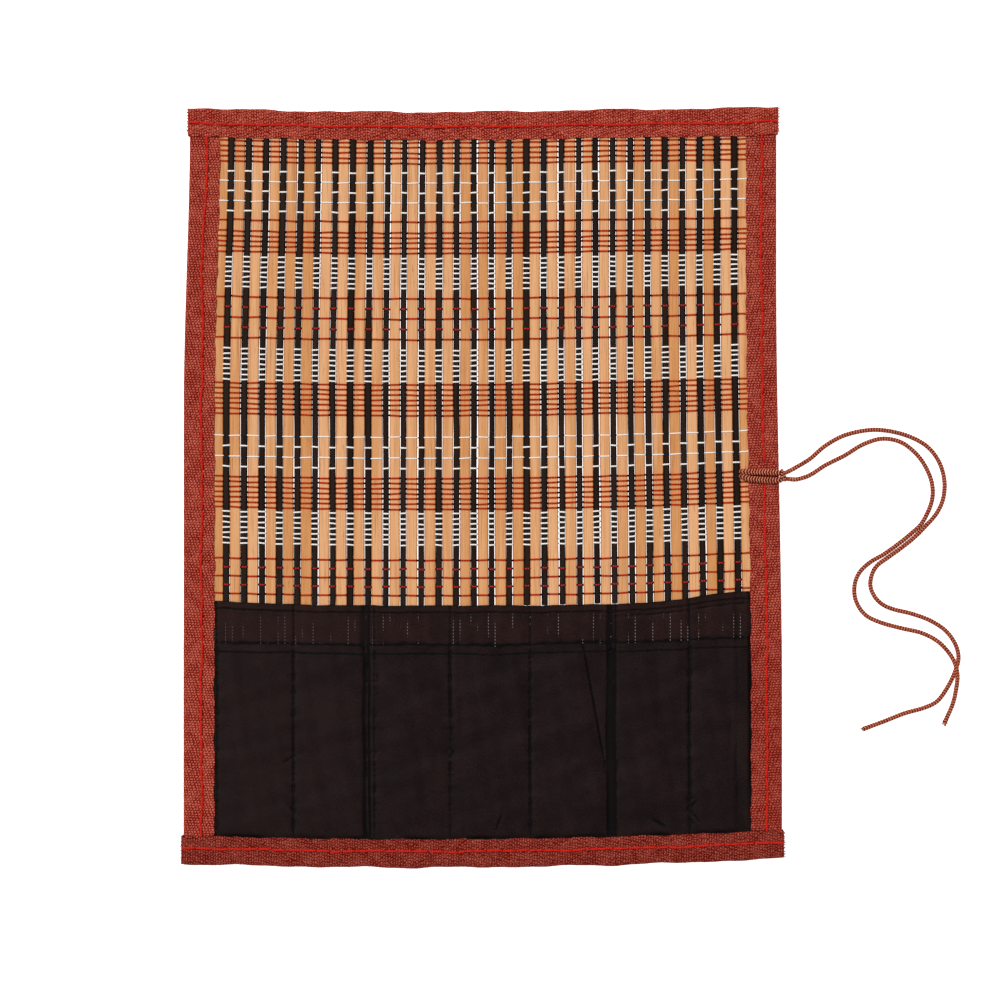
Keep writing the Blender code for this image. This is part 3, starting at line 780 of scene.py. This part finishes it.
def add_slats():
    for n, body in enumerate(BODIES):
        x = HINGE_X[0] + PITCH / 2 - n * PITCH
        node = "right_edge_slat_1" if n == 0 else "left_edge_slat_2" if n == LAST else f"slat_pair_{n:02d}"
        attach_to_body(add_slat(f"tan_slat_{n + 1:02d}", x, True, node, 100 + 7 * n), body)
    for n, x in enumerate(HINGE_X):
        node = "left_edge_slat_1" if n == LAST - 1 else f"slat_pair_{n + 1:02d}"
        half_way(add_slat(f"black_slat_{n + 1:02d}", x, False, node, 4000 + 7 * n), n)
    covered = [("right", n, BODIES[0]) for n in (2, 3, 4)] + [("left", n, BODIES[-1]) for n in (3, 4, 5)]
    for side, n, body in covered:
        node = f"{side}_edge_slat_{n}"
        low, high = box_mm(node)
        tan = high[0] - low[0] > (TAN_WIDTH + BLACK_WIDTH) / 2
        x = (low[0] + high[0]) / 2
        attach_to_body(add_slat(f"{side}_covered_slat_{n}", x, tan, node, 8000 + n, False), body)


# ---------------------------------------------------------------- tape

ROW_STEPS = 4
STEP_ALONG = ROW_PITCH / ROW_STEPS
STEP_ACROSS = 0.6


def weave_relief(u, v, weave):
    nub_pitch, slant, nub_share, rib_share, _ = weave
    nub = np.cos(TURN * (u + slant * v) / nub_pitch) * np.cos(pi * v / ROW_PITCH)
    return 0.125 * (nub_share * nub + rib_share * np.cos(TURN * v / ROW_PITCH))


def fold_profile(width, top, floor=0.0):
    """A tape folded round an edge, from its upper inner edge round to its lower one: distance from the edge and
    height of each outer point, the outward direction there, and how far along the tape's width it is."""
    radius = (top - floor) / 2
    straight = width - radius
    length = 2 * straight + pi * radius
    s = np.arange(0, length, STEP_ACROSS)
    s = np.append(s, length) if length - s[-1] > 0.1 else s
    turn = np.clip((s - straight) / radius, 0, pi)
    lower = np.clip(s - straight - pi * radius, 0, None)
    u = np.where(s < straight, width - s, radius - radius * np.sin(turn)) + lower
    z = np.where(s < straight, top, floor + radius + radius * np.cos(turn))
    out_u = np.where((s < straight) | (lower > 0), 0.0, -np.sin(turn))
    out_z = np.where(s < straight, 1.0, np.cos(turn))
    return u, z, out_u, out_z, s


def tape_sheet(pile, along, tops, width, floors, place, weave, seed=0, caps=()):
    """Lays a folded tape along a line. place(u, v, z) puts the distance from the edge, the distance along and the
    height where the tape is."""
    widest = len(fold_profile(width, max(tops))[0])
    outer, inner, shown = [], [], []
    for v, top, floor in zip(along, tops, floors):
        u, z, out_u, out_z, s = fold_profile(width, top, floor)
        share = np.linspace(0, 1, widest)
        pick = np.linspace(0, 1, len(s))
        u, z, out_u, out_z = (np.interp(share, pick, each) for each in (u, z, out_u, out_z))
        s = share * s[-1]
        lift = weave_relief(s, v, weave)
        loose = 0.3 * bell(s, 2.5) * wave(v, 17, seed)
        edge = 0.5 * bell(s, 4.0) * wave(v, 34, seed + 3) + 0.14 * wave(v, 9, seed + 4) * bell(s, 3.0)
        sway = 0.15 * wave(v, 40, seed + 5) * (z > 2)
        outer.append(place(u + out_u * lift + edge, v, z + out_z * lift + loose + sway))
        coarse = slice(None, None, 1 if caps else 4)
        thick = TAPE_THICK - 0.1
        inner.append(place((u - out_u * thick + edge)[coarse], v, (z - out_z * thick + loose)[coarse]))
        shown.append(np.stack([s, np.full_like(s, v)], axis=-1))
    outer, inner, shown = np.array(outer), np.array(inner), np.array(shown)
    pile.grid(outer, shown)
    pick = np.linspace(0, shown.shape[1] - 1, inner.shape[1]).round().astype(int)
    pile.grid(inner, shown[:, pick], flip=True)
    for edge in (0, -1):
        rim = np.stack([outer[:, edge], inner[:, edge]], axis=1)
        pile.grid(rim, np.stack([shown[:, edge]] * 2, axis=1), flip=edge == 0)
    for end in caps:
        rim = np.stack([outer[end], inner[end]])
        pile.grid(rim, np.stack([shown[end]] * 2), flip=end == 0)


def strips():
    """The pieces that cross the mat: number, left and right X, and the hinge between, or None at the two ends."""
    bounds = [HINGE_X[0] + PITCH / 2 - n * PITCH for n in range(LAST + 1)]
    yield 0, bounds[0], None, None
    for n in range(LAST):
        yield n + 1, bounds[n + 1], bounds[n], n
    yield LAST + 1, None, bounds[-1], None


def attach(piece, number, hinge):
    """An end strip rides on its edge's body, and the others have their place baked into their mesh."""
    if hinge is None:
        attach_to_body(piece, BODIES[0] if number == 0 else BODIES[-1])
        return
    x, half = HINGE_X[hinge], PITCH / 2
    start, end = ((x + half) * MM, 0, 0), ((x - half) * MM, 0, 0)
    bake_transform(piece)
    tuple(start)
    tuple(end)


def end_tape(title, sign, middle_top, node, material, inset, seed):
    corner = SIDE_EDGE - SIDE_TAPE_WIDTH

    def place(u, v, z):
        u = np.asarray(u, float)
        y = sign * (HALF_LENGTH - u + 0.75 * wave(v, 70, seed + 20) * bell(u - 1, 7.0))
        return settle(np.stack([np.full_like(u, v), y, z], axis=-1))

    def top_at(x):
        return middle_top + CORNER_RISE * rise((np.abs(x) - corner + 2.5) / 4.0)

    def seam(t, slant):
        y = sign * (HALF_LENGTH - inset + 0.55 * wave(t, 60, seed + 7) + slant)
        return settle(np.stack([t, y, top_at(t) + 0.12], axis=-1))

    for number, low, high, hinge in strips():
        low = -END_TAPE_HALF if low is None else low
        high = END_TAPE_HALF if high is None else high
        count = round((high - low) / STEP_ALONG)
        along = np.linspace(low, high, count + 1)
        caps = () if hinge is not None else ((-1,) if number == 0 else (0,))
        pile = Pile()
        tape_sheet(pile, along, top_at(along), END_TAPE_WIDTH, 0 * along, place, CANVAS, seed=seed, caps=caps)
        edge = END_TAPE_HALF - 0.6
        stitch_run(pile, seam, -edge, edge, 1, seed=seed + 9, cut=(low, high))
        if caps:
            side = 1 if number == 0 else -1
            for k in range(9):
                depth = END_TAPE_WIDTH * (0.06 + 0.105 * k)
                z = np.array([middle_top + CORNER_RISE - 0.4])
                end = place(np.array([depth]), side * (END_TAPE_HALF - 0.5), z)[0]
                fray(pile, end, np.array([side, 0.0, -0.3]), 5, 1.3, 0.5, seed=seed + 30 + k, half=0.16)
        piece = pile.object(f"{title}_{number:02d}", [material, RED_THREAD])
        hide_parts(node, node + "_seam")
        attach(piece, number, hinge)


def side_top(y):
    """How high the side tape's upper layer lies: over the slats, over the lining and over the pockets."""
    over_lining = rise((LINING_TOP + 3 - y) / 5)
    over_pocket = rise((PANEL_TOP + 3 - y) / 5)
    return OVER_SLATS + (OVER_LINING - OVER_SLATS) * over_lining + (OVER_POCKET - OVER_LINING) * over_pocket


def side_tape(title, sign, node, body, material, weave, seed):
    inside = HALF_LENGTH - END_TAPE_WIDTH + 3.0
    along = np.arange(-inside, inside, STEP_ALONG)
    near_end = rise((np.abs(along) - (inside - 5.0)) / 3.5)
    tops = side_top(along) - 0.45 * near_end

    def place(u, v, z):
        u = np.asarray(u, float)
        return settle(np.stack([sign * (SIDE_EDGE - u), np.full_like(u, v), z], axis=-1))

    def seam(t, slant):
        middle = SIDE_TAPE_WIDTH / 2 + 0.5 * wave(t, 85, seed + 7) + 0.2 * wave(t, 31, seed + 8)
        if sign < 0:
            middle = middle + 1.7 - 1.6 * bell(t - 141, 35)
        x = sign * (SIDE_EDGE - middle) + slant
        return settle(np.stack([x, t, side_top(t) + 0.12], axis=-1))

    pile = Pile()
    tape_sheet(pile, along, tops, SIDE_TAPE_WIDTH, 0.55 * near_end, place, weave, seed=seed)
    if sign > 0:
        stitch_run(pile, seam, -inside + 2, 2.6, 1, seed=seed + 9)
        stitch_run(pile, seam, 11.6, inside - 2, 1, seed=seed + 10)
    else:
        stitch_run(pile, seam, -inside + 2, inside - 2, 1, seed=seed + 9)
    piece = pile.object(title, [material, RED_THREAD])
    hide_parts(node, node + "_seam")
    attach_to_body(piece, body)


def add_tapes():
    side_tape("right_tape", 1, "right_binding", BODIES[0], TAPE_RIBBED, RIBBED, 300)
    side_tape("left_tape", -1, "left_binding", BODIES[-1], TAPE_BRICK, BRICK, 340)
    end_tape("top_tape", 1, OVER_SLATS, "top_binding", TAPE, 9.2, 380)
    end_tape("bottom_tape", -1, OVER_POCKET, "bottom_binding", TAPE_DARK, 10.0, 420)


# ---------------------------------------------------------------- cloth


# Each pleat: X, lean, height, width, and the seed of its wandering.
PLEATS = (
    (-15.5, -0.02, 0.12, 1.6, 63), (118.8, 0.0, 0.14, 1.6, 64), (147.0, 0.0, 0.12, 1.2, 67),
)
# Each flat fold, which cloth_strip darkens with painted shade: X, depth, half width, and the seed of its wandering.
GROOVES = (
    (-69.2, 0.42, 2.4, 61), (-66.6, 0.50, 0.6, 61),
    (73.4, 0.42, 0.6, 62), (75.6, 0.42, 2.4, 62), (77.8, 0.42, 0.6, 62),
)
# Small creases, each as X, Y, direction, half length, half width and depth.
CREASES = (
    (104.5, -200.5, 2.6, 6.0, 1.5, 0.40), (122.5, -190.5, 0.7, 4.5, 0.9, 0.32),
    (125.0, -197.0, 2.3, 4.5, 0.9, 0.28), (-113.0, -160.0, 0.5, 6.0, 1.2, 0.25),
    (-112.0, -190.0, 2.4, 6.0, 1.2, 0.25), (10.0, -196.0, 1.2, 6.0, 1.1, 0.22),
)


def lining_edge(x):
    """The Y of the lining's upper edge, which climbs towards both side tapes."""
    right, left, middle = 4.6 * rise((x - 92) / 62), 1.0 * rise((-100 - x) / 60), 0.5 * rise((25 - x) / 20)
    return LINING_TOP + 0.3 + right + left + middle + 0.3 * wave(x, 45, 51)


def panel_edge(x):
    return PANEL_TOP + 0.2 + 0.4 * wave(x, 80, 52) - 0.5 * bell(x - 5, 14)


def under_tape(x, y):
    """1 where the cloth lies flat under the tapes, and 0 where it is free."""
    inner = SIDE_EDGE - SIDE_TAPE_WIDTH
    bottom = HALF_LENGTH - END_TAPE_WIDTH
    return np.maximum(rise((np.abs(x) - inner + 3.0) / 2.5), rise((-y - bottom + 3.5) / 3.0))


def lining_height(x, y):
    depth = lining_edge(x) - y
    z = 3.42 + 0.10 * np.cos(TURN * (x - HINGE_X[0] - PITCH / 2) / PITCH) + 0.06 * wave(x + 0.3 * y, 21, 53)
    z = z + 0.22 * rise((6.0 - depth) / 1.2)
    z = z - 0.4 * bell(depth - LINING_SEAM, 0.5) - 0.2 * bell(depth - 7.2, 0.6) * rise((x - 60) / 40)
    z = np.maximum(z + pleats(x, y), np.minimum(z, 3.3)) - 0.18 * bell(seam_pull(x)[1], 0.7)
    return z + (3.12 - z) * under_tape(x, y)


def pleats(x, y):
    """The folds that run down the cloth, each sharp on one side, and fading out at the bottom tape."""
    total = 0.0
    for x0, lean, size, width, seed in PLEATS:
        line = x - x0 - lean * (y + 150) - 0.8 * wave(y, 120, seed)
        total = total + size * (bell(line, width) - 0.7 * bell(line - 2.0 * width, 1.1 * width))
    return (total - grooves(x, y)) * rise((y + 219) / 12)


def grooves(x, y):
    """How deep the flat folds are. cloth_strip also paints shade along them from this depth."""
    return sum(depth * bell(x - x0 - 0.6 * wave(y, 150, seed), width) for x0, depth, width, seed in GROOVES)


def creases(x, y):
    total = 0.0
    for x0, y0, turn, length, width, depth in CREASES:
        along = (x - x0) * np.cos(turn) + (y - y0) * np.sin(turn)
        across = (y - y0) * np.cos(turn) - (x - x0) * np.sin(turn)
        fold = bell(across, width) - 0.6 * bell(across - 2 * width, width)
        total = total - depth * bell(along, length) * fold
    return total


def mouth(x):
    """How far the pocket mouths gape."""
    return 0.9 * bell(x - 4, 8) + 0.5 * bell(x - 62, 7) + 0.4 * bell(x + 45, 12)


def seam_pull(x):
    """How far the panel is drawn down, from 0 to 1 on a seam, and how far off the nearest seam is."""
    distance = np.min([np.abs(x - seam) for seam in ALL_SEAMS], axis=0)
    return np.exp(-distance / 1.3), distance


def panel_height(x, y):
    depth = panel_edge(x) - y
    pull, distance = seam_pull(x)
    low_end = rise((y + 213) / 26)
    crown = 1.0 * (1 - np.exp(-distance / 11.0)) * (0.35 + 0.65 * low_end)
    z = 4.1 + crown - 0.32 * pull
    z = z + 0.3 * np.exp(-distance / 3.2) * wave(y, 13, 56) * low_end
    z = z + 0.45 * wave(x + 0.15 * y, 34, 54) * (1 - pull) + 0.25 * wave(y - 0.3 * x, 41, 55) * (1 - pull)
    z = z + pleats(x, y) + creases(x, y)
    crease = x - (59 + (-94 - y) * 0.18)
    z = z - 0.34 * bell(crease, 0.75) * rise((y + 180) / 30)
    z = z + mouth(x) * bell(depth, 9)
    z = z + 0.2 * rise((6.6 - depth) / 1.0) - 0.42 * bell(depth - PANEL_SEAM, 0.5)
    return np.maximum(z + (3.85 - z) * under_tape(x, y), 3.8)


def cloth_strip(name, low, high, edge, height, material, node, number, hinge, seed, extra=()):
    """One strip of the lining or the panel between two X, with its hem and its stitches, and its size as cut."""
    x = np.linspace(low, high, max(8, round((high - low) / 0.65)) + 1)
    top = edge(x)
    down = np.concatenate([np.linspace(0, 8, 15)[1:], np.linspace(8, float(top.max()) - CLOTH_END, 95)[1:]])
    columns = []
    for xi, yi in zip(x, top):
        y = np.maximum(yi - down, CLOTH_END)
        z = height(np.full_like(y, xi), y)
        first = z[0]
        fold_y = [yi - HEM, yi - 2.5, yi - 0.35, yi - 0.05, yi, yi - 0.1]
        fold_z = first - np.array([0.3, 0.3, 0.29, 0.22, 0.08, 0.01])
        column = np.stack([np.full(len(y) + 6, xi), np.append(fold_y, y), np.append(fold_z, z)], axis=-1)
        columns.append(column)
    points = np.array(columns)
    pile = Pile()
    hem_seam = LINING_SEAM if node == "pocket_lining" else PANEL_SEAM
    flat_x, flat_y = points[..., 0], points[..., 1]
    reach = 1.6
    around = [height(flat_x + dx, flat_y + dy) for dx, dy in ((reach, 0), (-reach, 0), (0, reach), (0, -reach))]
    depth = edge(flat_x) - flat_y
    # Painted shade for the cloth's material, kept as its first pattern value: how far the cloth lies below its
    # surroundings, plus painted shade along the flat folds, on the hem's seam line, along the upper edge and, on the
    # lining, under the pocket mouths. Where the cloth bulges the value is negative and paints a highlight.
    painted_shade = sum(around) / 4 - height(flat_x, flat_y) + 0.22 * grooves(flat_x, flat_y)
    painted_shade = painted_shade + 0.08 * bell(depth - hem_seam, 0.6) + 0.1 * rise((0.9 - depth) / 0.5)
    if node == "pocket_lining":
        painted_shade = painted_shade + 0.16 * rise((panel_edge(flat_x) + 2.2 + 1.2 * mouth(flat_x) - flat_y) / 1.8)
    pile.grid(settle(points), np.stack([painted_shade, flat_y], axis=-1), flip=True)

    def hem(t, slant):
        y = edge(t) - hem_seam + 0.3 * slant
        return settle(np.stack([t, y, height(t, y) + 0.05], axis=-1))

    stitch_run(pile, hem, -157, 157, 1, seed=seed, cut=(low, high), **HEM_STITCH)
    nodes = [node, "lining_hem_seam" if node == "pocket_lining" else "pocket_hem_seam"]
    for n, seam_x in extra:
        def line(t, slant, seam_x=seam_x):
            x = seam_x + 0.25 * wave(t, 40, 70) + 0.4 * slant
            return settle(np.stack([x, t, height(x, t) + 0.08], axis=-1))

        if node == "pocket_lining":
            stitch_run(pile, line, PANEL_TOP, lining_edge(seam_x) - 0.5, 1, seed=seed + n, **POCKET_STITCH)
            continue
        stitch_run(pile, line, CLOTH_END + 15, PANEL_TOP - 1.2, 1, seed=seed + n, **POCKET_STITCH)
        if 1 <= n <= 6:
            nodes.append(f"pocket_seam_{n}")
    piece = pile.object(name, [material, DARK_THREAD])
    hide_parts(*nodes)
    attach(piece, number, hinge)
    cut_length = float(top.mean()) - CLOTH_END + HEM
    return piece, (high - low, cut_length)


def add_cloth():
    for number, low, high, hinge in strips():
        low = -CLOTH_HALF if low is None else low
        high = CLOTH_HALF if high is None else high
        seams = [(n, x) for n, x in enumerate(POCKET_SEAMS, 1) if low <= x < high]
        seams += [(7 + k, x) for k, x in enumerate(EDGE_SEAMS) if low <= x < high]
        under = f"tan_slat_{min(number, LAST) + 1:02d}"
        for title, node, edge, height, material, seed in (
            ("lining", "pocket_lining", lining_edge, lining_height, LINING, 500),
            ("pocket_panel", "pocket_panel", panel_edge, panel_height, PANEL, 540),
        ):
            name = f"{title}_{number:02d}"
            piece, flat = cloth_strip(name, low, high, edge, height, material, node, number, hinge, seed, seams)
            under = piece.name


# ---------------------------------------------------------------- everything, in order

add_camera()
add_cords()
add_light()
add_floor()
add_slats()
add_tapes()
add_cloth()

VISUAL_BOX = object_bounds()
boxes = {"cad": CAD_BOX, "visual": VISUAL_BOX}
{name: [list(corner) for corner in box] for name, box in boxes.items()}
